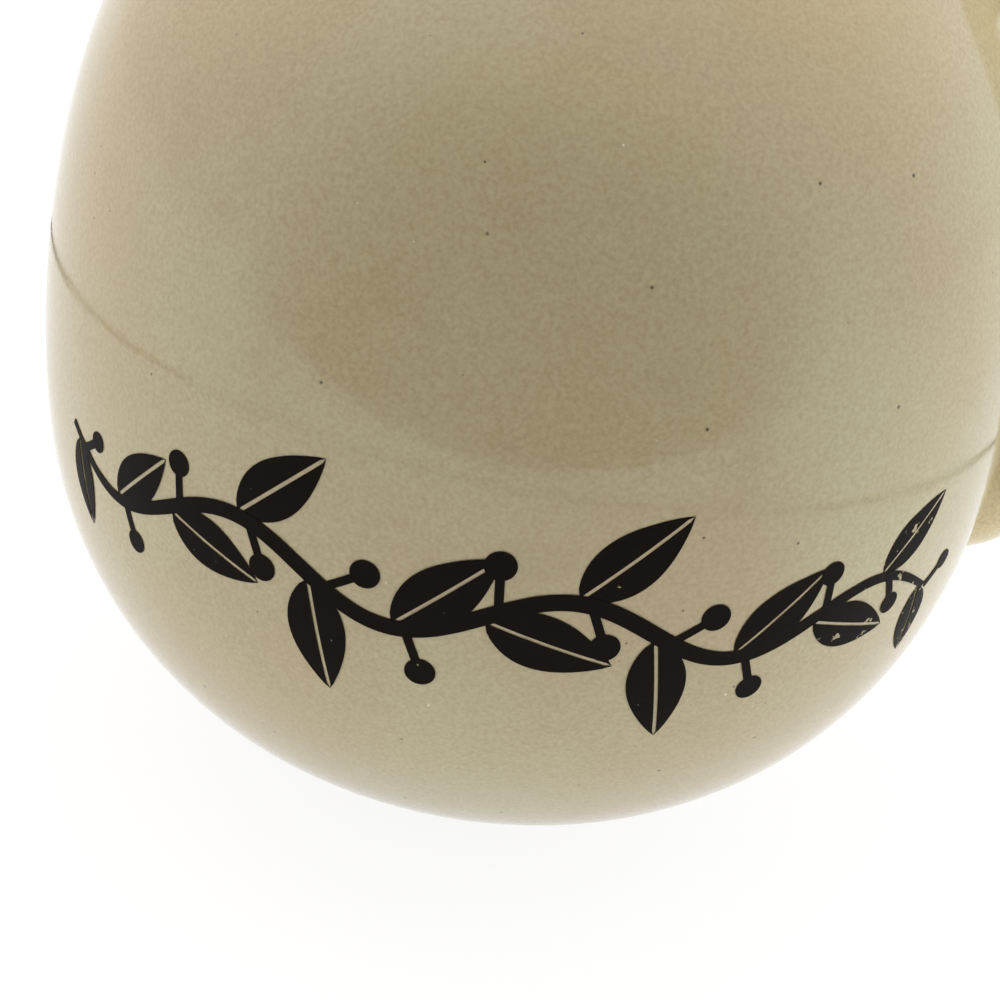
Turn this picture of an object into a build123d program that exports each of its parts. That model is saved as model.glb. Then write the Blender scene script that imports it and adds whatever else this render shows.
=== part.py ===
from build123d import *
import math
import os

# Handled ceramic cheese shaker: a hollow casting with a pierced dome, a strap handle and a stopper in the base.
# Millimetres. The origin is at the centre of the foot, on the table. +Z is up and the handle lies along +X.

# Outline of the pot, as radii and heights above the table
foot_radius = 21.5
foot_lip = 0.9
heel_radius = 36.2
heel_height = 11.6
flank_radius = 42.7
flank_height = 24.0
belly_radius = 45.0
belly_height = 39.5
chest_radius = 44.0
chest_height = 57.0
shoulder_radius = 38.3
shoulder_height = 74.6
slope_radius = 31.0
slope_height = 83.2
dome_radius = 17.0
dome_height = 92.0
total_height = 95.6

# Walls of the casting
wall = 4.0
base_thickness = 4.4
foot_width = 3.0
recess_depth = 3.0
foot_round = 0.6

# Filling hole in the base and pouring holes in the dome
fill_hole_radius = 14.0
fill_hole_round = 0.8
pour_hole_diameter = 4.6
pour_rings = 2
pour_ring_pitch = 8.2
first_ring_count = 6

# Handle: the heights of its roots, its reach beyond the belly, its oval section and the flare of its roots
low_root_height = 32.4
low_root_slope = 14.0
handle_reach = 31.0
elbow_height = 43.0
bend_height = 86.0
top_root_slope = 36.0
strap_width = 18.0
strap_thickness = 9.5
low_root_width = 21.0
low_root_thickness = 19.0
top_root_width = 21.0
top_root_thickness = 14.0
root_flare = 5.0
root_bite = 6.0
handle_sections = 15

# Stopper
flange_gap = 1.0
flange_thickness = 1.5
stopper_clearance = 0.15
fin_height = 1.2
fin_depth = 0.9
plug_rise = 3.4
stopper_wall = 2.2
pinch_bar_width = 3.2
pinch_bar_depth = 4.0

recess_radius = foot_radius - foot_width
flange_radius = recess_radius - flange_gap
floor_height = recess_depth + base_thickness


def flat(radius, height):
    """A point of the section plane, at a radius from the axis and a height above the table."""
    return Vector(radius, 0, height)


def outer_curve():
    """The outside of the pot from the foot lip to the top of the dome."""
    points = [
        flat(foot_radius, foot_lip),
        flat(heel_radius, heel_height),
        flat(flank_radius, flank_height),
        flat(belly_radius, belly_height),
        flat(chest_radius, chest_height),
        flat(shoulder_radius, shoulder_height),
        flat(slope_radius, slope_height),
        flat(dome_radius, dome_height),
        flat(0, total_height),
    ]
    return Spline(*points)


def inward(curve, place):
    """The direction square to the outline, towards the inside of the pot."""
    along = curve % place
    return Vector(-along.Z, 0, along.X)


def turned(edges):
    """A solid turned about the axis from the edges of its half section."""
    return revolve(make_face(edges), Axis.Z)


def pot_outside():
    """The pot as a full solid, which also shapes the seats of the handle."""
    edges = Curve() + [
        outer_curve(),
        Line(flat(0, total_height), flat(0, 0)),
        Line(flat(0, 0), flat(foot_radius, 0)),
        Line(flat(foot_radius, 0), flat(foot_radius, foot_lip)),
    ]
    return turned(edges.edges())


def pot_inside():
    """The space inside the pot, one wall in from the outside and closed by the floor."""
    outside = outer_curve()
    steps = 18
    points = [outside @ (step / steps) + inward(outside, step / steps) * wall for step in range(steps)]
    points.append(flat(0, total_height - wall))
    low = points[0]
    edges = Curve() + [
        Spline(*points),
        Line(points[-1], flat(0, low.Z)),
        Line(flat(0, low.Z), low),
    ]
    space = turned(edges.edges())
    above_floor = Pos(0, 0, floor_height) * Cylinder(
        2 * belly_radius, total_height, align=(Align.CENTER, Align.CENTER, Align.MIN)
    )
    return space & above_floor


def place_at_radius(curve, radius):
    """The place on the dome, as a share of the outline's length, that lies at a radius from the axis."""
    low = 0.7
    high = 1.0
    for _ in range(40):
        middle = (low + high) / 2
        if (curve @ middle).X > radius:
            low = middle
        else:
            high = middle
    return low


def pour_holes():
    """Drills set square to the dome, one at the top and the rest in rings."""
    outside = outer_curve()
    drill = Cylinder(pour_hole_diameter / 2, 4 * wall)
    drills = [Pos(0, 0, total_height) * drill]
    for ring in range(1, pour_rings + 1):
        place = place_at_radius(outside, ring * pour_ring_pitch)
        spot = outside @ place
        towards = inward(outside, place)
        lean = math.degrees(math.atan2(-towards.X, -towards.Z))
        count = ring * first_ring_count
        for index in range(count):
            turn = 360 * (index + 0.5) / count
            drills.append(Rot(0, 0, turn) * Pos(spot.X, 0, spot.Z) * Rot(0, lean, 0) * drill)
    return drills


def make_pot(outside):
    """The hollow casting with its foot ring, filling hole and pierced dome."""
    recess = Cylinder(recess_radius, 2 * recess_depth)
    fill_hole = Cylinder(fill_hole_radius, 2 * floor_height + 2 * wall)
    pot = outside - pot_inside() - recess - fill_hole
    pot = pot - pour_holes()
    rings = pot.edges().filter_by(GeomType.CIRCLE)
    pot = fillet(rings.filter_by_position(Axis.Z, -0.01, 0.01), foot_round)
    rings = pot.edges().filter_by(GeomType.CIRCLE)
    floor_rim = [ring for ring in rings.filter_by_position(Axis.Z, floor_height - 0.01, floor_height + 0.01)
                 if abs(ring.radius - fill_hole_radius) < 0.01]
    return fillet(floor_rim, fill_hole_round)


def handle_line():
    """The middle line of the handle, from inside the belly wall out and back to inside the shoulder."""
    outer = belly_radius + handle_reach
    low_angle = math.radians(low_root_slope)
    top_angle = math.radians(top_root_slope)
    low_root = flat(belly_radius, low_root_height)
    top_root = flat(slope_radius, slope_height)
    low_way = flat(math.cos(low_angle), math.sin(low_angle))
    top_way = flat(math.cos(top_angle), math.sin(top_angle))
    half_reach = handle_reach / 2
    return Bezier(
        low_root - low_way * root_bite,
        low_root + low_way * half_reach,
        flat(outer, elbow_height),
        flat(outer, bend_height),
        top_root + top_way * handle_reach * 0.7,
        top_root - top_way * root_bite,
    )


def flared(middle, low_root, top_root, to_low, to_top):
    """A size of the oval section that grows smoothly towards each root."""
    low = (low_root - middle) * math.exp(-((to_low / root_flare) ** 2) / 2)
    top = (top_root - middle) * math.exp(-((to_top / root_flare) ** 2) / 2)
    return middle + low + top


def make_handle(outside):
    """The strap handle: oval sections along its line, flared at the roots and cut to seat on the pot."""
    line = handle_line()
    ovals = []
    for index in range(handle_sections):
        place = index / (handle_sections - 1)
        to_low = max(place * line.length - root_bite, 0)
        to_top = max((1 - place) * line.length - root_bite, 0)
        width = flared(strap_width, low_root_width, top_root_width, to_low, to_top)
        thickness = flared(strap_thickness, low_root_thickness, top_root_thickness, to_low, to_top)
        section = Plane(line @ place, x_dir=(0, 1, 0), z_dir=line % place)
        ovals.append(section * Ellipse(width / 2, thickness / 2))
    return loft(ovals) - outside


def make_stopper():
    """The soft stopper: flange under the base, finned plug in the filling hole, cup with a pinch bar."""
    low = recess_depth - flange_thickness
    top = floor_height + plug_rise
    fin_radius = fill_hole_radius - stopper_clearance
    core_radius = fin_radius - fin_depth
    cup_radius = core_radius - stopper_wall
    cup_top = top - stopper_wall
    points = [flat(cup_radius, low), flat(flange_radius, low), flat(flange_radius, recess_depth)]
    for fin_middle in (recess_depth + base_thickness / 4, floor_height - base_thickness / 4):
        points.append(flat(core_radius, fin_middle - fin_height / 2))
        points.append(flat(fin_radius, fin_middle))
        points.append(flat(core_radius, fin_middle + fin_height / 2))
    points.insert(3, flat(core_radius, recess_depth))
    points += [flat(core_radius - fin_depth, top), flat(0, top), flat(0, cup_top), flat(cup_radius, cup_top)]
    stopper = turned(Polyline(*points, close=True).edges())
    bar = Pos(0, 0, low) * Box(
        2 * cup_radius + stopper_wall, pinch_bar_width, pinch_bar_depth, align=(Align.CENTER, Align.CENTER, Align.MIN)
    )
    return stopper + bar


outside = pot_outside()
parts = {
    "pot": make_pot(outside),
    "handle": make_handle(outside),
    "stopper": make_stopper(),
}

os.makedirs("parts", exist_ok=True)
for name, solid in parts.items():
    solid.label = name
    export_step(solid, f"parts/{name}.step")
    box = solid.bounding_box()
    print(name, "solids", len(solid.solids()), "volume", round(solid.volume), "box", box.min, box.max)
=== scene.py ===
import math

import bmesh
import bpy
import numpy
from bpy.props import FloatProperty, FloatVectorProperty, IntProperty, PointerProperty
from mathutils import Matrix, Vector


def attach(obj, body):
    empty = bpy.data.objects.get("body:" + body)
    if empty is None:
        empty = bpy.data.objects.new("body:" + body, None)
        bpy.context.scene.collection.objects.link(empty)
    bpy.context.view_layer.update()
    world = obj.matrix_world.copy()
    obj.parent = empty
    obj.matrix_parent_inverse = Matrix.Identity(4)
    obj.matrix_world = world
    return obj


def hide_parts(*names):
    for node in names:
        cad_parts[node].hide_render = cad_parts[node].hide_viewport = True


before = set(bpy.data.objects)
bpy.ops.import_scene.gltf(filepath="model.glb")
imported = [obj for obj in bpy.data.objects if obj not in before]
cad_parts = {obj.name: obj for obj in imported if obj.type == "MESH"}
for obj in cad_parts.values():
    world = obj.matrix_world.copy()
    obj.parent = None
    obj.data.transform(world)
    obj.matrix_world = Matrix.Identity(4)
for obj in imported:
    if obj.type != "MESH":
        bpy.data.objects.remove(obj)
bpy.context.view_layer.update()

bl_info = {
    "name": "Parmesan Shaker",
    "version": (1, 0, 0),
    "blender": (4, 5, 0),
    "location": "3D View > Sidebar > Shaker",
    "description": "Dresses the packed solids of a glazed ceramic cheese shaker",
    "category": "Object",
}

MM = 0.001


# Small helpers for the settings

def linear(code):
    """The linear colour of an sRGB hex value."""
    shares = [int(code[place:place + 2], 16) / 255 for place in (1, 3, 5)]
    return [share / 12.92 if share <= 0.04045 else ((share + 0.055) / 1.055) ** 2.4 for share in shares]


def size(name, description, millimetres):
    """A length that a user may change, given in millimetres and kept in metres."""
    return FloatProperty(
        name=name, description=description, default=millimetres * MM, min=0, unit="LENGTH", precision=5
    )


def level(name, description, value):
    """A plain strength that a user may change."""
    return FloatProperty(name=name, description=description, default=value, min=0)


def spot(name, description, radius, height):
    """A point of the pot's outline, as a radius and a height in millimetres."""
    place = (radius * MM, height * MM)
    return FloatVectorProperty(
        name=name, description=description, default=place, size=2, unit="LENGTH", precision=5
    )


def angle(name, description, degrees):
    """An angle that a user may change, given in degrees."""
    return FloatProperty(name=name, description=description, default=math.radians(degrees), subtype="ANGLE")


def colour(name, description, code):
    """A colour that a user may change, given as an sRGB hex value."""
    return FloatVectorProperty(
        name=name, description=description, default=linear(code), size=3, min=0, max=1, subtype="COLOR"
    )


# Settings

class PotSettings(bpy.types.PropertyGroup):
    """Outline, walls, holes and glaze of the pot."""

    foot: spot("Foot", "Lip of the foot ring", 21.5, 0.9)
    heel: spot("Heel", "Where the foot turns into the flank", 36.2, 11.6)
    flank: spot("Flank", "Lower flank", 42.7, 24.0)
    belly: spot("Belly", "Widest place", 44.91, 39.5)
    chest: spot("Chest", "Upper flank", 44.0, 57.0)
    shoulder: spot("Shoulder", "Start of the turn to the top", 38.3, 74.6)
    slope: spot("Slope", "Foot of the dome, where the handle ends", 31.0, 83.2)
    dome: spot("Dome", "Outer ring of the dome", 17.0, 92.0)
    top: spot("Top", "Top of the dome, on the axis", 0.0, 95.6)
    wall: size("Wall", "Thickness of the casting", 4.0)
    base_thickness: size("Base thickness", "Thickness of the floor", 4.4)
    foot_width: size("Foot width", "Width of the foot ring", 3.0)
    recess_depth: size("Recess depth", "Height of the base above the table", 3.0)
    foot_round: size("Foot round", "Rounding of the foot ring", 0.6)
    fill_hole_radius: size("Filling hole", "Radius of the filling hole", 14.0)
    fill_hole_round: size("Filling hole round", "Rounding of the filling hole", 0.8)
    pour_hole_radius: size("Pouring hole", "Radius of a pouring hole", 2.3)
    pour_ring_pitch: size("Pouring rings", "Distance from one ring of pouring holes to the next", 8.2)
    pour_rings: IntProperty(
        name="Ring count", description="Rings of pouring holes", default=2, min=1, max=2
    )
    first_ring_count: IntProperty(
        name="First ring", description="Holes in the first ring", default=6, min=6, max=6
    )
    rim_round: size("Rim round", "Softening of a pouring hole by the glaze", 0.5)
    glaze: colour("Glaze", "Ivory glaze", "#B3AA8C")
    glaze_warm: colour("Warm glaze", "Glaze where it lies thinner over the clay", "#B0A182")
    thin_glaze: colour("Thin glaze", "Glaze that breaks over a sharp edge", "#8E7B58")
    pinhole: colour("Pinhole", "Iron specks and pinholes", "#4A4232")
    dust: colour("Dust", "Pale specks on the glaze", "#E4DDC6")
    clay: colour("Clay", "Dry clay of the foot ring", "#B9A486")


class HandleSettings(bpy.types.PropertyGroup):
    """Line, section and glaze of the handle. Its glaze colours are the pot's glaze painted lighter and
    warmer: painted light and warm bounce on the handle.
    """

    low_root_height: size("Low root", "Height of the low root on the belly", 32.4)
    low_root_slope: angle("Low slope", "Rise of the handle as it leaves the belly", 14.0)
    reach: size("Reach", "How far the handle's line is drawn beyond the belly", 31.07)
    elbow_height: size("Elbow", "Height that draws the lower bend", 43.0)
    bend_height: size("Bend", "Height that draws the upper bend", 86.0)
    top_root_slope: angle("Top slope", "Rise of the handle as it leaves the dome", 36.0)
    strap_width: size("Strap width", "Width of the strap", 18.0)
    strap_thickness: size("Strap thickness", "Thickness of the strap", 9.5)
    low_root_width: size("Low root width", "Width of the low root", 21.0)
    low_root_thickness: size("Low root thickness", "Thickness of the low root", 19.0)
    top_root_width: size("Top root width", "Width of the top root", 21.0)
    top_root_thickness: size("Top root thickness", "Thickness of the top root", 14.0)
    root_flare: size("Root flare", "How fast a root widens", 5.0)
    root_bite: size("Root bite", "How far the line runs into the wall", 6.0)
    fillet: size("Fillet", "Slip and glaze that fill the corner at a root", 1.0)
    # Painted light: both handle glaze colours are the pot's ivory glaze made lighter and warmer, standing
    # in for the light and warm bounce that fall on the handle
    glaze: colour("Glaze", "Warmer glaze of the handle", "#CFC099")
    glaze_warm: colour("Warm glaze", "Glaze where it lies thinner over the clay", "#C4B088")


class StopperSettings(bpy.types.PropertyGroup):
    """Sizes and colour of the stopper in the base."""

    flange_gap: size("Flange gap", "Gap between the flange and the foot ring", 1.0)
    flange_thickness: size("Flange", "Thickness of the flange", 1.5)
    clearance: size("Clearance", "Gap between a squeezed fin and the hole", 0.15)
    fin_height: size("Fin height", "Height of a fin", 1.2)
    fin_depth: size("Fin depth", "How far a fin stands out", 0.9)
    plug_rise: size("Plug rise", "How far the plug stands above the floor", 3.4)
    wall: size("Wall", "Wall of the cup", 2.2)
    bar_width: size("Bar width", "Width of the pinch bar", 3.2)
    bar_depth: size("Bar depth", "Depth of the pinch bar", 4.0)
    rubber: colour("Rubber", "Soft moulded rubber", "#CFC8B6")
    aged_rubber: colour("Aged rubber", "Rubber that has yellowed", "#B9A985")


class SprigSettings(bpy.types.PropertyGroup):
    """Printed leaf band on the belly."""

    turn: angle("Turn", "Turn of the band's middle from the front, away from the handle", 11.0)
    height: size("Height", "Height of the band's middle", 36.0)
    half_length: size("Half length", "Length of the band each way from the front", 43.0)
    wave_length: size("Wave length", "Length of one wave of the stem", 28.0)
    wave_height: size("Wave height", "Swing of the stem", 2.6)
    stem_width: size("Stem", "Width of the stem", 1.5)
    leaf_length: size("Leaf length", "Length of a leaf", 11.0)
    leaf_width: size("Leaf width", "Width of a leaf", 5.2)
    leaf_lean: angle("Leaf lean", "Angle between a leaf and the stem", 46.0)
    berry_radius: size("Berry", "Radius of a berry", 1.3)
    berry_lean: angle("Berry lean", "Angle between a stalk and the stem", 66.0)
    stalk_length: size("Stalk", "Length of a berry's stalk", 3.2)
    film: size("Film", "Thickness of the fired print", 0.03)
    ink: colour("Ink", "Brown-black fired enamel", "#171210")


class StageSettings(bpy.types.PropertyGroup):
    """Camera, floor and light."""

    aim_height: size("Aim height", "Height of the point that the camera stands off from", 36.0)
    distance: size("Distance", "Distance of the camera from that point", 192.76)
    turn: angle("Turn", "Turn of the camera from the front, away from the handle", 11.0)
    elevation: angle("Elevation", "Height of the camera, as an angle", 24.78)
    tilt: angle("Tilt", "How far the camera looks below that point", 3.58)
    roll: angle("Roll", "Turn of the camera about its line of sight", 10.18)
    lens: FloatProperty(name="Lens", description="Focal length in millimetres", default=72.0, min=1)
    floor: colour("Floor", "Pale floor", "#F4F3F0")
    card_low: colour("Card foot", "Foot of the card that stands behind the camera", "#2A2823")
    card_high: colour("Card head", "Head of the card that stands behind the camera", "#BAB4A5")
    rim: colour("Rim", "Edge of the round turntable under the shaker", "#2A2823")
    floor_level: level("Floor level", "Light that the floor lets through", 0.5)
    room_level: level("Room level", "Strength of the room's soft light", 1.0)


# Shared modelling

def spline_through(points, steps):
    """Points along a cubic spline, whose end slopes come from the first and the last four points."""
    points = numpy.array(points)
    chords = numpy.linalg.norm(numpy.diff(points, axis=0), axis=1)
    knots = numpy.concatenate([[0], numpy.cumsum(chords)])
    rises = numpy.diff(points, axis=0) / chords[:, None]
    count = len(points)
    system = numpy.eye(count)
    target = numpy.zeros((count, 2))
    target[0] = numpy.polyfit(knots[:4], points[:4], 3)[2]
    target[-1] = numpy.polyfit(knots[-4:] - knots[-1], points[-4:], 3)[2]
    for knot in range(1, count - 1):
        before = chords[knot - 1]
        after = chords[knot]
        system[knot, knot - 1:knot + 2] = after, 2 * (before + after), before
        target[knot] = 3 * (after * rises[knot - 1] + before * rises[knot])
    slopes = numpy.linalg.solve(system, target)
    places = numpy.linspace(0, knots[-1], steps)
    spans = numpy.clip(numpy.searchsorted(knots, places, side="right") - 1, 0, count - 2)
    width = chords[spans][:, None]
    share = (places - knots[spans])[:, None] / width
    leave = slopes[spans] * width
    arrive = slopes[spans + 1] * width
    start_share = 2 * share ** 3 - 3 * share ** 2 + 1
    curve = start_share * points[spans] + (1 - start_share) * points[spans + 1]
    return curve + (share ** 3 - 2 * share ** 2 + share) * leave + (share ** 3 - share ** 2) * arrive


OUTLINE_STEPS = 2400


class Outline:
    """The pot's outside as radii, heights and directions square to it."""

    def __init__(self, pot):
        points = [
            pot.foot, pot.heel, pot.flank, pot.belly, pot.chest, pot.shoulder, pot.slope, pot.dome, pot.top,
        ]
        self.curve = spline_through([tuple(point) for point in points], OUTLINE_STEPS)
        along = numpy.gradient(self.curve, axis=0)
        along /= numpy.linalg.norm(along, axis=1)[:, None]
        self.outward = numpy.stack([along[:, 1], -along[:, 0]], axis=1)
        self.widest = int(numpy.argmax(self.curve[:, 0]))

    def radius(self, height):
        """Radius of the pot at a height."""
        return float(numpy.interp(height, self.curve[:, 1], self.curve[:, 0]))

    def square(self, height):
        """Radial and upward share of the direction square to the pot at a height."""
        radial = float(numpy.interp(height, self.curve[:, 1], self.outward[:, 0]))
        upward = float(numpy.interp(height, self.curve[:, 1], self.outward[:, 1]))
        return radial, upward

    def inset(self, depth):
        """The upper half of the outline moved inwards, from the axis outwards."""
        return (self.curve - self.outward * depth)[self.widest:][::-1]

    def on_dome(self, radius, depth):
        """Where the outline at a radius ends up when it is moved inwards."""
        outside = self.curve[self.widest:][::-1]
        inside = self.inset(depth)
        return tuple(float(numpy.interp(radius, outside[:, 0], inside[:, axis])) for axis in (0, 1))

    def distance(self, point):
        """Distance of a point from the pot's outside, positive outside, for points near it."""
        radial, _ = self.square(point.z)
        return (math.hypot(point.x, point.y) - self.radius(point.z)) * radial

    def away(self, point):
        """Direction square to the pot's outside near a point."""
        radial, upward = self.square(point.z)
        reach = math.hypot(point.x, point.y)
        return Vector((point.x / reach * radial, point.y / reach * radial, upward))


def new_piece(bm, name, material, body, node=None):
    """Make a smooth-shaded object from a bmesh, let it ride on a body and stand for a CAD node."""
    bmesh.ops.recalc_face_normals(bm, faces=bm.faces)
    mesh = bpy.data.meshes.new(name)
    bm.to_mesh(mesh)
    bm.free()
    mesh.shade_smooth()
    mesh.materials.append(material)
    piece = bpy.data.objects.new(name, mesh)
    bpy.context.scene.collection.objects.link(piece)
    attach(piece, body)
    if node:
        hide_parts(node)


def edges_of(made):
    """Edges at the vertices that a bmesh operator made."""
    return list(dict.fromkeys(edge for vert in made["verts"] for edge in vert.link_edges))


def turn_round(bm, points, steps):
    """Spin a half section, given as radii and heights, about the axis and close its seam and poles."""
    verts = [bm.verts.new((radius, 0, height)) for radius, height in points]
    edges = [bm.edges.new(pair) for pair in zip(verts, verts[1:])]
    bmesh.ops.spin(
        bm, geom=verts + edges, axis=(0, 0, 1), cent=(0, 0, 0), angle=2 * math.pi, steps=steps,
        use_merge=True,
    )
    bmesh.ops.remove_doubles(bm, verts=bm.verts, dist=0.001 * MM)
    bmesh.ops.recalc_face_normals(bm, faces=bm.faces)


def ring_edges(bm, radius, height):
    """Edges that run round the axis at a radius and a height."""
    near = 0.01 * MM
    return [
        edge for edge in bm.edges
        if all(
            abs(math.hypot(vert.co.x, vert.co.y) - radius) < near and abs(vert.co.z - height) < near
            for vert in edge.verts
        )
    ]


def soften(bm, edges, amount, segments=3):
    """Round edges off."""
    bmesh.ops.bevel(
        bm, geom=edges, offset=amount, offset_type="OFFSET", segments=segments, profile=0.5, affect="EDGES",
        material=-1, clamp_overlap=True,
    )


# Materials

# Places of the two colours among the sockets of a mix node
MIX_A = 6
MIX_B = 7


def add_node(tree, kind, settings=None, inputs=None):
    """Add a node, set its properties, then fill its sockets. A node given for a socket is linked
    by its first output in use."""
    node = tree.nodes.new(kind)
    for name, value in (settings or {}).items():
        setattr(node, name, value)
    for name, value in (inputs or {}).items():
        if isinstance(value, bpy.types.Node):
            value = next(socket for socket in value.outputs if socket.enabled)
        if isinstance(value, bpy.types.NodeSocket):
            tree.links.new(value, node.inputs[name])
        else:
            node.inputs[name].default_value = value
    return node


def start_material(name):
    """An empty node material."""
    material = bpy.data.materials.new(name)
    material.use_nodes = True
    material.node_tree.nodes.clear()
    return material, material.node_tree


def opaque(shade):
    """A colour with full opacity."""
    return (*shade, 1.0)


def scattered_spots(tree, where, spacing, radius, peak, gate):
    """Share of round spots of many sizes, scattered over the cells that pass the gate."""
    cells = add_node(tree, "ShaderNodeTexVoronoi", inputs={"Vector": where, "Scale": 1 / spacing})
    dice = add_node(tree, "ShaderNodeSeparateColor", inputs={"Color": cells.outputs["Color"]})
    edge = add_node(tree, "ShaderNodeMath", {"operation": "MULTIPLY"}, {
        0: dice.outputs["Red"], 1: radius / spacing,
    })
    round_spot = add_node(tree, "ShaderNodeMapRange", inputs={
        "Value": cells.outputs["Distance"], "From Max": edge, "To Min": peak, "To Max": 0.0,
    })
    chosen = add_node(tree, "ShaderNodeMath", {"operation": "GREATER_THAN"}, {
        0: dice.outputs["Green"], 1: gate,
    })
    return add_node(tree, "ShaderNodeMath", {"operation": "MULTIPLY", "use_clamp": True}, {
        0: round_spot, 1: chosen,
    })


def glazed_earthenware(name, pot, glaze, glaze_warm):
    """Slip-cast earthenware under a semi-gloss ivory glaze: a soft reflection over a fine pebbled skin,
    slow drifts of tone, iron specks and pinholes, pale dust, and dry clay where it stands."""
    material, tree = start_material(name)
    mottle_size = 26 * MM
    smudge_size = 11 * MM
    grain_size = 0.38 * MM
    peel_size = 0.9 * MM
    dry_height = 0.25 * MM
    where = add_node(tree, "ShaderNodeTexCoord").outputs["Object"]

    # Slow drift to the warmer glaze
    mottle = add_node(tree, "ShaderNodeTexNoise", inputs={
        "Vector": where, "Scale": 1 / mottle_size, "Detail": 2.0, "Roughness": 0.5,
    })
    drift = add_node(tree, "ShaderNodeMapRange", inputs={
        "Value": mottle, "From Min": 0.36, "From Max": 0.64,
    })

    # Fine grain of the skin
    grain = add_node(tree, "ShaderNodeTexNoise", inputs={
        "Vector": where, "Scale": 1 / grain_size, "Detail": 2.0, "Roughness": 0.6,
    })
    grain_share = add_node(tree, "ShaderNodeMapRange", inputs={
        "Value": grain, "From Min": 0.35, "From Max": 0.75, "To Max": 0.42,
    })

    # Smudges of handling
    smudge = add_node(tree, "ShaderNodeTexNoise", inputs={
        "Vector": where, "Scale": 1 / smudge_size, "Detail": 5.0, "Roughness": 0.62,
    })
    smudge_share = add_node(tree, "ShaderNodeMapRange", inputs={
        "Value": smudge, "From Min": 0.56, "From Max": 0.72, "To Max": 0.14,
    })

    # Iron specks and pinholes, and pale dust
    speck_share = scattered_spots(tree, where, spacing=2.0 * MM, radius=0.24 * MM, peak=1.6, gate=0.72)
    dust_share = scattered_spots(tree, where, spacing=2.6 * MM, radius=0.16 * MM, peak=1.5, gate=0.8)

    # Glaze that breaks thin over the rims of the holes
    rim = add_node(tree, "ShaderNodeAttribute", {"attribute_name": "rim"})
    rim_share = add_node(tree, "ShaderNodeMath", {"operation": "MULTIPLY"}, {
        0: rim.outputs["Fac"], 1: 0.55,
    })

    # Dry clay on the flat of the foot ring, wiped clean of glaze
    place = add_node(tree, "ShaderNodeSeparateXYZ", inputs={"Vector": where})
    wander = add_node(tree, "ShaderNodeMath", {"operation": "MULTIPLY_ADD"}, {
        0: smudge, 1: -0.5 * MM, 2: place.outputs["Z"],
    })
    dry_share = add_node(tree, "ShaderNodeMapRange", inputs={
        "Value": wander, "From Max": dry_height, "To Min": 1.0, "To Max": 0.0,
    })

    # Each shade laid over those before it, by its share
    tone = opaque(glaze)
    for share, shade in (
        (drift, glaze_warm),
        (grain_share, pot.thin_glaze),
        (smudge_share, pot.thin_glaze),
        (speck_share, pot.pinhole),
        (dust_share, pot.dust),
        (rim_share, pot.thin_glaze),
        (dry_share, pot.clay),
    ):
        tone = add_node(tree, "ShaderNodeMix", {"data_type": "RGBA"}, {
            "Factor": share, MIX_A: tone, MIX_B: opaque(shade),
        })

    # Gloss: duller where handled, dull where dry
    handled = add_node(tree, "ShaderNodeMapRange", inputs={
        "Value": smudge, "From Min": 0.4, "From Max": 0.75, "To Min": 0.07, "To Max": 0.16,
    })
    gloss = add_node(tree, "ShaderNodeMath", {"operation": "MULTIPLY_ADD", "use_clamp": True}, {
        0: dry_share, 1: 0.6, 2: handled,
    })

    # Pebbled skin, with a pit under each speck
    peel = add_node(tree, "ShaderNodeTexNoise", inputs={
        "Vector": where, "Scale": 1 / peel_size, "Detail": 1.5, "Roughness": 0.5,
    })
    pitted = add_node(tree, "ShaderNodeMath", {"operation": "MULTIPLY_ADD"}, {
        0: speck_share, 1: -0.8, 2: peel,
    })
    skin = add_node(tree, "ShaderNodeBump", inputs={
        "Strength": 0.28, "Distance": 0.03 * MM, "Height": pitted,
    })
    shader = add_node(tree, "ShaderNodeBsdfPrincipled", inputs={
        "Base Color": tone, "Roughness": gloss, "IOR": 1.52, "Normal": skin,
    })
    add_node(tree, "ShaderNodeOutputMaterial", inputs={"Surface": shader})
    return material


def moulded_rubber(stopper):
    """Soft moulded rubber: matte and slightly waxy, with a fine spark-eroded skin from the mould."""
    material, tree = start_material("moulded_rubber")
    cloud_size = 7 * MM
    skin_size = 0.35 * MM
    where = add_node(tree, "ShaderNodeTexCoord").outputs["Object"]
    cloud = add_node(tree, "ShaderNodeTexNoise", inputs={
        "Vector": where, "Scale": 1 / cloud_size, "Detail": 3.0,
    })
    yellowed = add_node(tree, "ShaderNodeMapRange", inputs={
        "Value": cloud, "From Min": 0.35, "From Max": 0.75, "To Max": 0.3,
    })
    tone = add_node(tree, "ShaderNodeMix", {"data_type": "RGBA"}, {
        "Factor": yellowed, MIX_A: opaque(stopper.rubber), MIX_B: opaque(stopper.aged_rubber),
    })
    erosion = add_node(tree, "ShaderNodeTexNoise", inputs={
        "Vector": where, "Scale": 1 / skin_size, "Detail": 2.0,
    })
    dull = add_node(tree, "ShaderNodeMapRange", inputs={
        "Value": erosion, "From Min": 0.3, "From Max": 0.7, "To Min": 0.48, "To Max": 0.64,
    })
    skin = add_node(tree, "ShaderNodeBump", inputs={
        "Strength": 0.4, "Distance": 0.02 * MM, "Height": erosion,
    })
    shader = add_node(tree, "ShaderNodeBsdfPrincipled", inputs={
        "Base Color": tone, "Roughness": dull, "IOR": 1.54, "Normal": skin,
    })
    add_node(tree, "ShaderNodeOutputMaterial", inputs={"Surface": shader})
    return material


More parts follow.
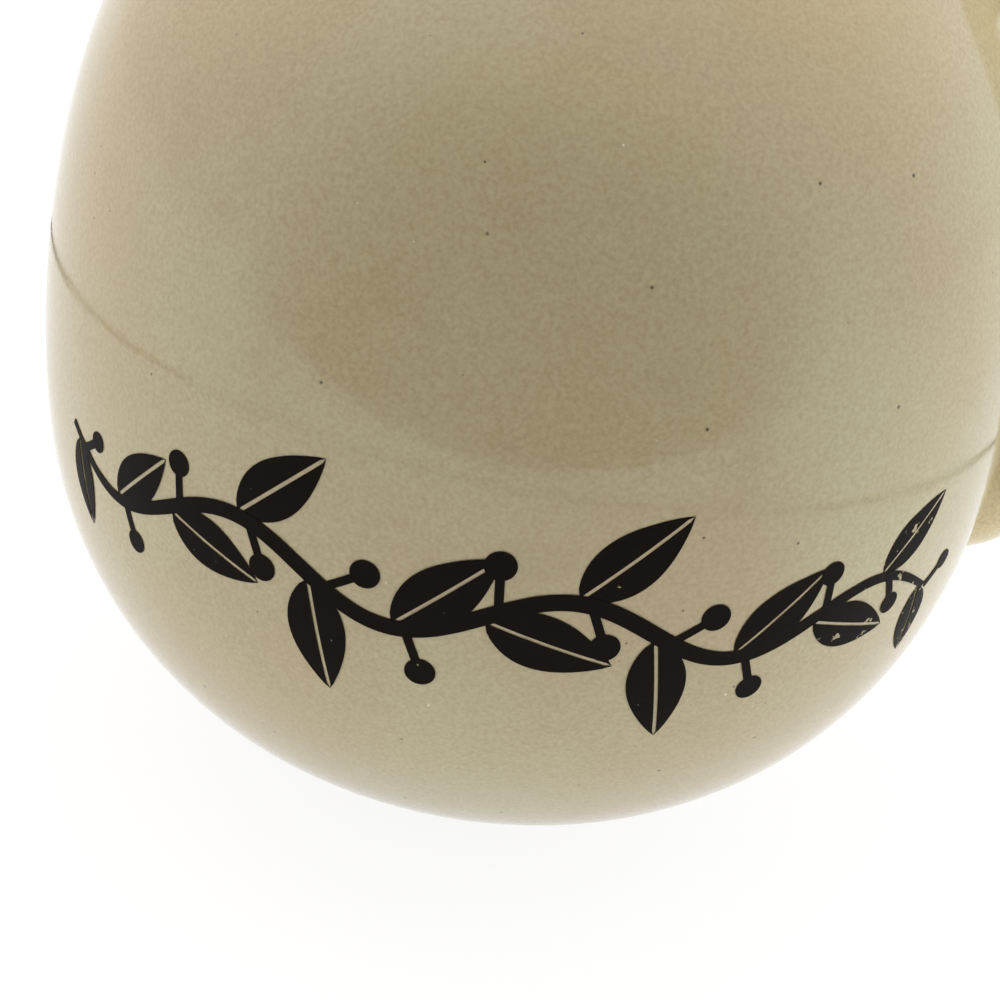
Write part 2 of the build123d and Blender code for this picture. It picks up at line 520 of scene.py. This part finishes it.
def fired_enamel(sprig, pot):
    """Screen-printed enamel fired on the glaze: brown-black and duller than the glaze,
    with flecks rubbed through to the ivory, most of them towards the handle."""
    material, tree = start_material("fired_enamel")
    fleck_size = 1.1 * MM
    skin_size = 0.7 * MM
    wear_start = 8 * MM
    wear_end = 32 * MM
    where = add_node(tree, "ShaderNodeTexCoord").outputs["Object"]
    place = add_node(tree, "ShaderNodeSeparateXYZ", inputs={"Vector": where})
    wear = add_node(tree, "ShaderNodeMapRange", inputs={
        "Value": place.outputs["X"], "From Min": wear_start, "From Max": wear_end,
        "To Min": 0.72, "To Max": 0.60,
    })
    flecks = add_node(tree, "ShaderNodeTexNoise", inputs={
        "Vector": where, "Scale": 1 / fleck_size, "Detail": 4.0, "Roughness": 0.62,
    })
    over = add_node(tree, "ShaderNodeMath", {"operation": "SUBTRACT"}, {0: flecks, 1: wear})
    bare = add_node(tree, "ShaderNodeMapRange", inputs={"Value": over, "From Max": 0.03, "To Max": 0.8})
    tone = add_node(tree, "ShaderNodeMix", {"data_type": "RGBA"}, {
        "Factor": bare, MIX_A: opaque(sprig.ink), MIX_B: opaque(pot.glaze),
    })
    ripple = add_node(tree, "ShaderNodeTexNoise", inputs={
        "Vector": where, "Scale": 1 / skin_size, "Detail": 1.5,
    })
    skin = add_node(tree, "ShaderNodeBump", inputs={
        "Strength": 0.4, "Distance": 0.03 * MM, "Height": ripple,
    })
    gloss = add_node(tree, "ShaderNodeMapRange", inputs={"Value": bare, "To Min": 0.42, "To Max": 0.5})
    shader = add_node(tree, "ShaderNodeBsdfPrincipled", inputs={
        "Base Color": tone, "Roughness": gloss, "IOR": 1.3, "Specular IOR Level": 0.06, "Normal": skin,
    })
    add_node(tree, "ShaderNodeOutputMaterial", inputs={"Surface": shader})
    return material


# Pot

COLUMNS = 96
ROWS_PER_RING = 8
OUTLINE_STEPS_PER_ROW = 26


def pour_hole_places(pot):
    """Each pouring hole as its ring, its turn round the axis and half the turn of its field."""
    places = [(0, 0.0, math.pi)]
    for ring in range(1, pot.pour_rings + 1):
        count = ring * pot.first_ring_count
        for index in range(count):
            places.append((ring, 2 * math.pi * (index + 0.5) / count, math.pi / count))
    return places


def in_field(vert, skin, low, high, turn, half_turn, slack):
    """Whether a vertex of a skin lies in the field of a hole, widened by some slack."""
    skin_slack = 0.5 * MM
    radius = math.hypot(vert.co.x, vert.co.y)
    if not low - slack <= radius <= high + slack:
        return False
    if abs(vert.co.z - numpy.interp(radius, skin[:, 0], skin[:, 1])) > skin_slack:
        return False
    away = abs((math.atan2(vert.co.y, vert.co.x) - turn + math.pi) % (2 * math.pi) - math.pi)
    return (away - half_turn) * radius <= slack


def pierce(bm, pot, outline, depth):
    """Open the pouring holes in the skin at a depth below the outside, and return their rims."""
    skin = outline.inset(depth)
    slack = 0.05 * MM
    guard = 2 * pot.rim_round
    rims = []
    for ring, turn, half_turn in pour_hole_places(pot):
        low, _ = outline.on_dome(max(ring - 0.5, 0) * pot.pour_ring_pitch, depth)
        high, _ = outline.on_dome((ring + 0.5) * pot.pour_ring_pitch, depth)
        centre = outline.on_dome(ring * pot.pour_ring_pitch, depth)
        radial, upward = outline.square(outline.on_dome(ring * pot.pour_ring_pitch, 0)[1])
        field = (skin, low, high, turn, half_turn)
        if ring:
            middle = [vert for vert in bm.verts if in_field(vert, *field, -slack)]
            bmesh.ops.delete(bm, geom=middle, context="VERTS")
        border = [edge for edge in bm.edges if all(in_field(vert, *field, slack) for vert in edge.verts)]
        lean = Matrix.Rotation(math.atan2(radial, upward) if ring else 0, 4, "Y")
        place = Matrix.Rotation(turn, 4, "Z") @ Matrix.Translation((centre[0], 0, centre[1])) @ lean
        loops = [border]
        for radius in (pot.pour_hole_radius + guard, pot.pour_hole_radius):
            circle = bmesh.ops.create_circle(bm, segments=len(border), radius=radius, matrix=place)
            for vert in circle["verts"]:
                vert.co.z = numpy.interp(math.hypot(vert.co.x, vert.co.y), skin[:, 0], skin[:, 1])
            loops.append(edges_of(circle))
        for outer, inner in zip(loops, loops[1:]):
            bmesh.ops.bridge_loops(bm, edges=outer + inner)
        rims.append(loops[-1])
    return rims


def pot_section(pot, outline):
    """Half section of the pot: down the inside from the dome, through the filling hole, up the outside."""
    floor_height = pot.recess_depth + pot.base_thickness
    clear_of_floor = 0.5 * MM
    recess_radius = pot.foot[0] - pot.foot_width
    pierced = (pot.pour_rings + 0.5) * pot.pour_ring_pitch
    row_step = pot.pour_ring_pitch / ROWS_PER_RING
    row_count = pot.pour_rings * ROWS_PER_RING
    dome_rows = [pierced - row * row_step for row in range(row_count + 1)]
    below = [
        place for place in range(0, len(outline.curve), OUTLINE_STEPS_PER_ROW)
        if place < outline.widest or outline.curve[place][0] > pierced + row_step
    ]
    inner_wall = outline.curve - outline.outward * pot.wall
    corner_radius = float(numpy.interp(floor_height, inner_wall[:, 1], inner_wall[:, 0]))
    inside = [outline.on_dome(radius, pot.wall) for radius in reversed(dome_rows)]
    inside += [
        tuple(inner_wall[place]) for place in reversed(below)
        if inner_wall[place][1] > floor_height + clear_of_floor
    ]
    base = [
        (corner_radius, floor_height),
        (pot.fill_hole_radius, floor_height),
        (pot.fill_hole_radius, pot.recess_depth),
        (recess_radius, pot.recess_depth),
        (recess_radius, 0),
        (pot.foot[0], 0),
    ]
    outside = [tuple(outline.curve[place]) for place in below]
    outside += [outline.on_dome(radius, 0) for radius in dome_rows]
    return inside + base + outside


def mark_rims(bm, pot, outline):
    """Keep in an attribute how near each vertex is to the rim of a pouring hole."""
    layer = bm.verts.layers.float.new("rim")
    spread = 0.9 * MM
    skin_depth = 1.5 * MM
    axes = []
    for ring, turn, _ in pour_hole_places(pot):
        radius, height = outline.on_dome(ring * pot.pour_ring_pitch, 0)
        radial, upward = outline.square(height) if ring else (0, 1)
        spin = Matrix.Rotation(turn, 3, "Z")
        axes.append((spin @ Vector((radius, 0, height)), spin @ Vector((radial, 0, upward))))
    for vert in bm.verts:
        if outline.distance(vert.co) < -skin_depth or vert.co.z < pot.shoulder[1]:
            continue
        nearest = min((vert.co - start).cross(way).length for start, way in axes)
        vert[layer] = max(0.0, 1.0 - abs(nearest - pot.pour_hole_radius) / spread)


class SHAKER_OT_pot(bpy.types.Operator):
    """Model the hollow glazed pot with its pierced dome, foot ring and filling hole"""

    bl_idname = "shaker.pot"
    bl_label = "Pot"

    def execute(self, context):
        pot = context.scene.shaker_pot
        outline = Outline(pot)
        floor_height = pot.recess_depth + pot.base_thickness
        bm = bmesh.new()
        turn_round(bm, pot_section(pot, outline), COLUMNS)
        outer_rims = pierce(bm, pot, outline, 0)
        inner_rims = pierce(bm, pot, outline, pot.wall)
        for outer, inner in zip(outer_rims, inner_rims):
            bmesh.ops.bridge_loops(bm, edges=outer + inner)
        bmesh.ops.recalc_face_normals(bm, faces=bm.faces)
        soften(bm, [edge for rim in outer_rims for edge in rim], pot.rim_round)
        foot_edges = ring_edges(bm, pot.foot[0], 0) + ring_edges(bm, pot.foot[0] - pot.foot_width, 0)
        soften(bm, foot_edges, pot.foot_round)
        soften(bm, ring_edges(bm, pot.fill_hole_radius, floor_height), pot.fill_hole_round)
        mark_rims(bm, pot, outline)
        material = glazed_earthenware("ivory_glazed_earthenware", pot, pot.glaze, pot.glaze_warm)
        new_piece(bm, "pot_casting", material, "shaker", "pot")
        return {"FINISHED"}


# Handle

HANDLE_SECTIONS = 128
HANDLE_SIDES = 48
LENGTH_STEPS = 200


def handle_line(handle, pot):
    """Control points of the handle's middle line, from inside the belly to inside the foot of the dome."""
    low_pull = 0.5
    top_pull = 0.7
    low_root = Vector((pot.belly[0], 0, handle.low_root_height))
    top_root = Vector((pot.slope[0], 0, pot.slope[1]))
    low_way = Vector((math.cos(handle.low_root_slope), 0, math.sin(handle.low_root_slope)))
    top_way = Vector((math.cos(handle.top_root_slope), 0, math.sin(handle.top_root_slope)))
    outer = pot.belly[0] + handle.reach
    return [
        low_root - low_way * handle.root_bite,
        low_root + low_way * handle.reach * low_pull,
        Vector((outer, 0, handle.elbow_height)),
        Vector((outer, 0, handle.bend_height)),
        top_root + top_way * handle.reach * top_pull,
        top_root - top_way * handle.root_bite,
    ]


def along_line(controls, place):
    """Point and direction of a Bezier line at a place from 0 to 1."""
    while len(controls) > 2:
        controls = [start.lerp(end, place) for start, end in zip(controls, controls[1:])]
    start, end = controls
    return start.lerp(end, place), (end - start).normalized()


def flared(handle, middle, low_root, top_root, to_low, to_top):
    """A size of the oval section that grows smoothly towards each root."""
    low = (low_root - middle) * math.exp(-((to_low / handle.root_flare) ** 2) / 2)
    top = (top_root - middle) * math.exp(-((to_top / handle.root_flare) ** 2) / 2)
    return middle + low + top


def fill_corner(vert, outward, handle, outline):
    """Spread a vertex near the wall along it, so that the root runs into the pot in a round corner."""
    depth_under_glaze = 0.8 * MM
    passes = 3
    gap = max(outline.distance(vert.co), -depth_under_glaze)
    if gap >= handle.fillet:
        return
    rise = handle.fillet - max(gap, 0)
    vert.co += outward * (handle.fillet - math.sqrt(handle.fillet ** 2 - rise ** 2))
    for _ in range(passes):
        vert.co += outline.away(vert.co) * (gap - outline.distance(vert.co))


class SHAKER_OT_handle(bpy.types.Operator):
    """Model the strap handle, flared and filled at its roots"""

    bl_idname = "shaker.handle"
    bl_label = "Handle"

    def execute(self, context):
        pot = context.scene.shaker_pot
        handle = context.scene.shaker_handle
        outline = Outline(pot)
        controls = handle_line(handle, pot)
        stops = [along_line(controls, step / LENGTH_STEPS)[0] for step in range(LENGTH_STEPS + 1)]
        length = sum((end - start).length for start, end in zip(stops, stops[1:]))
        bm = bmesh.new()
        loops = []
        for section in range(HANDLE_SECTIONS + 1):
            place = (1 - math.cos(math.pi * section / HANDLE_SECTIONS)) / 2
            middle, way = along_line(controls, place)
            to_low = max(place * length - handle.root_bite, 0)
            to_top = max((1 - place) * length - handle.root_bite, 0)
            half_width = flared(
                handle, handle.strap_width, handle.low_root_width, handle.top_root_width, to_low, to_top
            ) / 2
            half_thickness = flared(
                handle, handle.strap_thickness, handle.low_root_thickness, handle.top_root_thickness,
                to_low, to_top,
            ) / 2
            across = Vector((0, 1, 0))
            up = way.cross(across)
            turn = Matrix((across, up, way)).transposed().to_4x4()
            stretch = Matrix.Diagonal((half_width, half_thickness, 1, 1))
            oval = bmesh.ops.create_circle(
                bm, segments=HANDLE_SIDES, radius=1, matrix=Matrix.Translation(middle) @ turn @ stretch
            )
            loops.append(edges_of(oval))
            for vert in oval["verts"]:
                offset = vert.co - middle
                sideways = across * (offset.dot(across) / half_width ** 2)
                upward = up * (offset.dot(up) / half_thickness ** 2)
                fill_corner(vert, (sideways + upward).normalized(), handle, outline)
        for start, end in zip(loops, loops[1:]):
            bmesh.ops.bridge_loops(bm, edges=start + end)
        bmesh.ops.remove_doubles(bm, verts=bm.verts, dist=0.02 * MM)
        bmesh.ops.holes_fill(bm, edges=[edge for edge in bm.edges if edge.is_boundary], sides=0)
        # The handle's material: its glaze colours carry painted light, lighter and warmer than the pot's
        # glaze
        material = glazed_earthenware("tan_glaze_with_painted_light", pot, handle.glaze, handle.glaze_warm)
        new_piece(bm, "handle_strap", material, "shaker", "handle")
        return {"FINISHED"}


# Stopper

class SHAKER_OT_stopper(bpy.types.Operator):
    """Model the soft stopper with its flange, fins, cup and pinch bar"""

    bl_idname = "shaker.stopper"
    bl_label = "Stopper"

    def execute(self, context):
        pot = context.scene.shaker_pot
        stopper = context.scene.shaker_stopper
        floor_height = pot.recess_depth + pot.base_thickness
        low = pot.recess_depth - stopper.flange_thickness
        top = floor_height + stopper.plug_rise
        flange_radius = pot.foot[0] - pot.foot_width - stopper.flange_gap
        fin_radius = pot.fill_hole_radius - stopper.clearance
        core_radius = fin_radius - stopper.fin_depth
        top_radius = core_radius - stopper.fin_depth
        cup_radius = core_radius - stopper.wall
        cup_top = top - stopper.wall
        fin_heights = [pot.recess_depth + pot.base_thickness / 4, floor_height - pot.base_thickness / 4]
        section = [(0, cup_top), (cup_radius, cup_top), (cup_radius, low), (flange_radius, low)]
        section += [(flange_radius, pot.recess_depth), (core_radius, pot.recess_depth)]
        for fin_height in fin_heights:
            section.append((core_radius, fin_height - stopper.fin_height / 2))
            section.append((fin_radius, fin_height))
            section.append((core_radius, fin_height + stopper.fin_height / 2))
        section += [(top_radius, top), (0, top)]
        bm = bmesh.new()
        turn_round(bm, section, COLUMNS)
        fin_round = 0.15 * MM
        bar_round = 0.7 * MM
        bar_inset = 0.2 * MM
        for radius, height, edge_round in (
            (flange_radius, low, 0.5 * MM),
            (flange_radius, pot.recess_depth, 0.3 * MM),
            (cup_radius, low, 0.6 * MM),
            (cup_radius, cup_top, 0.8 * MM),
            (top_radius, top, 0.8 * MM),
            (fin_radius, fin_heights[0], fin_round),
            (fin_radius, fin_heights[1], fin_round),
        ):
            soften(bm, ring_edges(bm, radius, height), edge_round)
        bar_length = 2 * cup_radius + stopper.wall
        bar_place = Matrix.Translation((0, 0, low + stopper.bar_depth / 2 + bar_inset))
        bar_size = Matrix.Diagonal((bar_length, stopper.bar_width, stopper.bar_depth, 1))
        bar = bmesh.ops.create_cube(bm, size=1, matrix=bar_place @ bar_size)
        soften(bm, edges_of(bar), bar_round, segments=4)
        new_piece(bm, "stopper_moulding", moulded_rubber(stopper), "stopper", "stopper")
        return {"FINISHED"}


# Printed leaf band

LEAF_STEPS = 20
STALK_STEPS = 6
BERRY_SIDES = 28
STEM_STEPS = 240


def stem_height(sprig, along):
    """Height of the stem at a place along the band."""
    return sprig.height + sprig.wave_height * math.sin(2 * math.pi * along / sprig.wave_length)


def stem_slope(sprig, along):
    """Angle of the stem at a place along the band."""
    wave = 2 * math.pi / sprig.wave_length
    return math.atan(sprig.wave_height * wave * math.cos(wave * along))


def on_stem(sprig, along, lean):
    """Where a leaf or a stalk leaves the stem, and which way it leans."""
    return Matrix.Translation((along, stem_height(sprig, along), 0)) @ Matrix.Rotation(lean, 4, "Z")


def add_leaf(bm, sprig, along, lean, share):
    """A leaf in two halves beside a bare midrib, laid flat along the band."""
    length = sprig.leaf_length * share
    width = sprig.leaf_width * share
    rib = 0.16 * MM
    stem_gap = 0.5 * MM
    stem_bias = 0.8
    fullness = 0.85
    place = on_stem(sprig, along, lean)
    for side in (-1, 1):
        grid = bmesh.ops.create_grid(bm, x_segments=LEAF_STEPS, y_segments=3, size=0.5)
        for vert in grid["verts"]:
            run = vert.co.x + 0.5
            rise = vert.co.y + 0.5
            edge = width / 2 * math.sin(math.pi * run ** stem_bias) ** fullness
            gap = min(rib, edge)
            vert.co = place @ Vector((run * length + stem_gap, side * (gap + rise * (edge - gap)), 0))


def add_berry(bm, sprig, along, lean, share):
    """A berry on a short stalk, laid flat along the band."""
    stalk = sprig.stalk_length * share
    stalk_width = sprig.stem_width * 0.5
    radius = sprig.berry_radius * share
    overlap = 0.8
    place = on_stem(sprig, along, lean)
    grid = bmesh.ops.create_grid(bm, x_segments=STALK_STEPS, y_segments=1, size=0.5)
    for vert in grid["verts"]:
        vert.co = place @ Vector(((vert.co.x + 0.5) * stalk, vert.co.y * stalk_width, 0))
    end = place @ Matrix.Translation((stalk + radius * overlap, 0, 0))
    bmesh.ops.create_circle(bm, cap_ends=True, segments=BERRY_SIDES, radius=radius, matrix=end)


class SHAKER_OT_sprig(bpy.types.Operator):
    """Model the printed leaf band as a thin film on the belly"""

    bl_idname = "shaker.sprig"
    bl_label = "Leaf band"

    def execute(self, context):
        pot = context.scene.shaker_pot
        sprig = context.scene.shaker_sprig
        outline = Outline(pot)
        end_taper = 0.6
        end_shrink = 0.3
        berry_step = 0.2
        sharp_edge = math.radians(40)
        bm = bmesh.new()
        stem = bmesh.ops.create_grid(bm, x_segments=STEM_STEPS, y_segments=1, size=0.5)
        for vert in stem["verts"]:
            along = 2 * vert.co.x * sprig.half_length
            taper = 1 - end_taper * abs(2 * vert.co.x) ** 3
            side = vert.co.y * sprig.stem_width * taper
            lean = stem_slope(sprig, along)
            height = stem_height(sprig, along) + side * math.cos(lean)
            vert.co = Vector((along - side * math.sin(lean), height, 0))
        quarter = sprig.wave_length / 4
        steps = int(sprig.half_length / quarter)
        for step in range(-steps, steps + 1):
            along = step * quarter
            share = 1 - end_shrink * (along / sprig.half_length) ** 2
            lean = stem_slope(sprig, along)
            side = 1 if step % 2 else -1
            add_leaf(bm, sprig, along, lean + side * sprig.leaf_lean, share)
            add_berry(bm, sprig, along + berry_step * quarter, lean - side * sprig.berry_lean, share)
        bmesh.ops.remove_doubles(bm, verts=bm.verts, dist=0.02 * MM)
        bmesh.ops.triangulate(bm, faces=[face for face in bm.faces if len(face.verts) > 4])
        for vert in bm.verts:
            along, height, _ = vert.co
            turn = along / pot.belly[0] - sprig.turn
            reach = outline.radius(height) + sprig.film
            vert.co = Vector((reach * math.sin(turn), -reach * math.cos(turn), height))
        bmesh.ops.recalc_face_normals(bm, faces=bm.faces)
        bmesh.ops.solidify(bm, geom=bm.faces[:], thickness=sprig.film)
        for edge in bm.edges:
            edge.smooth = edge.calc_face_angle(0) < sharp_edge
        new_piece(bm, "leaf_band", fired_enamel(sprig, pot), "shaker")
        return {"FINISHED"}


# Stage

# Each lamp's name, place before the camera's turn, width in metres, power in watts and tint
LAMPS = (
    ("left_lamp", (-0.8, 0.5, 0.6), 0.6, 3.2, (1.0, 0.91, 0.84)),
    ("right_lamp", (0.78, 0.42, 0.36), 0.7, 4.4, (0.86, 0.97, 1.0)),
    ("top_lamp", (0.0, 0.35, 1.2), 0.8, 7.0, (1.0, 0.98, 0.91)),
)
WHITE = (1.0, 1.0, 1.0)


def add_lamp(name, place, aim, width, power, tint):
    """A square soft lamp that looks at a point and leaves no mirror image of itself."""
    data = bpy.data.lights.new(name, "AREA")
    data.shape = "SQUARE"
    data.size = width
    data.energy = power
    data.color = tint
    lamp = bpy.data.objects.new(name, data)
    lamp.location = place
    lamp.rotation_mode = "QUATERNION"
    lamp.rotation_quaternion = (Vector(aim) - Vector(place)).to_track_quat("-Z", "Y")
    lamp.visible_glossy = False
    bpy.context.scene.collection.objects.link(lamp)


def seen_directly(tree):
    """1 for rays from the camera and for those that mirror or pass through, which show the background."""
    path = add_node(tree, "ShaderNodeLightPath")
    mirrored = add_node(tree, "ShaderNodeMath", {"operation": "ADD"}, {
        0: path.outputs["Is Camera Ray"], 1: path.outputs["Is Glossy Ray"],
    })
    return add_node(tree, "ShaderNodeMath", {"operation": "ADD", "use_clamp": True}, {
        0: mirrored, 1: path.outputs["Is Transmission Ray"],
    })


def pale_floor(stage):
    """Matt white board. Seen directly it is near white all over and keeps a faint shadow."""
    material, tree = start_material("matt_white_board")
    lift_tint = (0.81, 0.9, 1.0)
    faint_grey = (0.13, 0.13, 0.13)
    shown_level = 0.9
    matt = add_node(tree, "ShaderNodeBsdfDiffuse", inputs={"Color": opaque(stage.floor)})
    lift = add_node(tree, "ShaderNodeEmission", inputs={
        "Color": opaque(lift_tint), "Strength": stage.floor_level,
    })
    board = add_node(tree, "ShaderNodeAddShader", inputs={0: matt, 1: lift})
    faint = add_node(tree, "ShaderNodeBsdfDiffuse", inputs={"Color": opaque(faint_grey)})
    glow = add_node(tree, "ShaderNodeEmission", inputs={"Color": opaque(WHITE), "Strength": shown_level})
    shown = add_node(tree, "ShaderNodeAddShader", inputs={0: faint, 1: glow})
    both = add_node(tree, "ShaderNodeMixShader", inputs={0: seen_directly(tree), 1: board, 2: shown})
    add_node(tree, "ShaderNodeOutputMaterial", inputs={"Surface": both})
    return material


def dark_edge(stage):
    """Matt dark edge of a turntable, which the glaze mirrors as a thin line."""
    material, tree = start_material("matt_dark_edge")
    edge = add_node(tree, "ShaderNodeBsdfDiffuse", inputs={"Color": opaque(stage.rim)})
    add_node(tree, "ShaderNodeOutputMaterial", inputs={"Surface": edge})
    return material


def grey_card(stage, across):
    """Matt card that keeps light off the upper front: dark at its foot, and fading out at its sides."""
    material, tree = start_material("matt_grey_card")
    fade_start = 0.14
    fade_end = 0.36
    pale_height = 0.4
    where = add_node(tree, "ShaderNodeTexCoord").outputs["Object"]
    place = add_node(tree, "ShaderNodeSeparateXYZ", inputs={"Vector": where})
    height = add_node(tree, "ShaderNodeMapRange", inputs={
        "Value": place.outputs["Z"], "From Max": pale_height,
    })
    tone = add_node(tree, "ShaderNodeMix", {"data_type": "RGBA"}, {
        "Factor": height, MIX_A: opaque(stage.card_low), MIX_B: opaque(stage.card_high),
    })
    sideways = add_node(tree, "ShaderNodeVectorMath", {"operation": "DOT_PRODUCT"}, {0: where, 1: across})
    reach = add_node(tree, "ShaderNodeMath", {"operation": "ABSOLUTE"}, {0: sideways})
    fade = add_node(tree, "ShaderNodeMapRange", inputs={
        "Value": reach, "From Min": fade_start, "From Max": fade_end,
    })
    board = add_node(tree, "ShaderNodeBsdfDiffuse", inputs={"Color": tone})
    clear = add_node(tree, "ShaderNodeBsdfTransparent")
    both = add_node(tree, "ShaderNodeMixShader", inputs={0: fade, 1: board, 2: clear})
    add_node(tree, "ShaderNodeOutputMaterial", inputs={"Surface": both})
    return material


def light_room(stage):
    """White surroundings that light the object softly."""
    world = bpy.data.worlds.new("white_room")
    world.use_nodes = True
    tree = world.node_tree
    tree.nodes.clear()
    soft_tint = (1.0, 0.985, 0.92)
    soft = add_node(tree, "ShaderNodeBackground", inputs={
        "Color": opaque(soft_tint), "Strength": stage.room_level,
    })
    shown = add_node(tree, "ShaderNodeBackground", inputs={"Color": opaque(WHITE), "Strength": 1.0})
    both = add_node(tree, "ShaderNodeMixShader", inputs={0: seen_directly(tree), 1: soft, 2: shown})
    add_node(tree, "ShaderNodeOutputWorld", inputs={"Surface": both})
    bpy.context.scene.world = world


def stage_board(bm, name, material):
    """Make a flat board of the stage from a bmesh."""
    mesh = bpy.data.meshes.new(name)
    bm.to_mesh(mesh)
    bm.free()
    mesh.materials.append(material)
    board = bpy.data.objects.new(name, mesh)
    bpy.context.scene.collection.objects.link(board)
    return board


def four_cornered(corners):
    """A bmesh with one face through four corners."""
    bm = bmesh.new()
    bm.faces.new([bm.verts.new(corner) for corner in corners])
    return bm


def flat_ring(centre, inner, outer):
    """A bmesh with a flat ring."""
    segments = 160
    bm = bmesh.new()
    place = Matrix.Translation(centre)
    edges = []
    for radius in (inner, outer):
        circle = bmesh.ops.create_circle(bm, segments=segments, radius=radius, matrix=place)
        edges += edges_of(circle)
    bmesh.ops.bridge_loops(bm, edges=edges)
    return bm


class SHAKER_OT_stage(bpy.types.Operator):
    """Set the floor, the light and the camera"""

    bl_idname = "shaker.stage"
    bl_label = "Stage"

    def execute(self, context):
        scene = context.scene
        stage = scene.shaker_stage
        scene.view_settings.view_transform = "Standard"
        light_room(stage)

        floor_half = 2.0
        floor_corners = [
            (-floor_half, -floor_half, 0), (floor_half, -floor_half, 0),
            (floor_half, floor_half, 0), (-floor_half, floor_half, 0),
        ]
        stage_board(four_cornered(floor_corners), "floor", pale_floor(stage))

        facing = Matrix.Rotation(-stage.turn, 4, "Z")
        rim_centre = facing @ Vector((-0.004, -0.016, 0.0005))
        rim_radius = 0.138
        rim_width = 0.004
        rim_ring = flat_ring(rim_centre, rim_radius, rim_radius + rim_width)
        rim = stage_board(rim_ring, "turntable_rim", dark_edge(stage))
        rim.visible_camera = False
        rim.visible_diffuse = False
        rim.visible_shadow = False

        card_place = -0.175
        card_half = 0.36
        card_foot = 0.001
        card_top = 0.6
        card_lean = 0.15
        card_corners = [
            facing @ Vector((-card_half, card_place, card_foot)),
            facing @ Vector((card_half, card_place, card_foot)),
            facing @ Vector((card_half, card_place - card_lean, card_top)),
            facing @ Vector((-card_half, card_place - card_lean, card_top)),
        ]
        across = facing @ Vector((1, 0, 0))
        card = stage_board(four_cornered(card_corners), "front_card", grey_card(stage, across))
        card.visible_camera = False

        lamp_aim = (0, 0, 45 * MM)
        for name, lamp_place, width, power, tint in LAMPS:
            add_lamp(name, facing @ Vector(lamp_place), lamp_aim, width, power, tint)

        data = bpy.data.cameras.new("photo_camera")
        data.lens = stage.lens
        data.sensor_width = 36.0
        data.clip_start = 0.005
        camera = bpy.data.objects.new("photo_camera", data)
        back = Vector((0, -math.cos(stage.elevation), math.sin(stage.elevation)))
        place = Vector((0, 0, stage.aim_height)) + back * stage.distance
        pitch = math.pi / 2 - stage.elevation - stage.tilt
        look = Matrix.Rotation(pitch, 4, "X") @ Matrix.Rotation(stage.roll, 4, "Z")
        camera.matrix_world = facing @ Matrix.Translation(place) @ look
        scene.collection.objects.link(camera)
        scene.camera = camera
        return {"FINISHED"}


# Panel and registration

class SHAKER_PT_panel(bpy.types.Panel):
    """Buttons for the pieces of the shaker and its stage"""

    bl_idname = "SHAKER_PT_panel"
    bl_label = "Shaker"
    bl_space_type = "VIEW_3D"
    bl_region_type = "UI"
    bl_category = "Shaker"

    def draw(self, context):
        column = self.layout.column()
        for operator in OPERATORS:
            column.operator(operator.bl_idname)


SETTINGS = {
    "shaker_pot": PotSettings,
    "shaker_handle": HandleSettings,
    "shaker_stopper": StopperSettings,
    "shaker_sprig": SprigSettings,
    "shaker_stage": StageSettings,
}
OPERATORS = (SHAKER_OT_pot, SHAKER_OT_handle, SHAKER_OT_stopper, SHAKER_OT_sprig, SHAKER_OT_stage)


def register():
    for name, group in SETTINGS.items():
        bpy.utils.register_class(group)
        setattr(bpy.types.Scene, name, PointerProperty(type=group))
    for operator in OPERATORS:
        bpy.utils.register_class(operator)
    bpy.utils.register_class(SHAKER_PT_panel)


def unregister():
    bpy.utils.unregister_class(SHAKER_PT_panel)
    for operator in reversed(OPERATORS):
        bpy.utils.unregister_class(operator)
    for name, group in SETTINGS.items():
        delattr(bpy.types.Scene, name)
        bpy.utils.unregister_class(group)


def main():
    register()
    bpy.ops.shaker.pot()
    bpy.ops.shaker.handle()
    bpy.ops.shaker.stopper()
    bpy.ops.shaker.sprig()
    bpy.ops.shaker.stage()


if __name__ == "__main__":
    main()
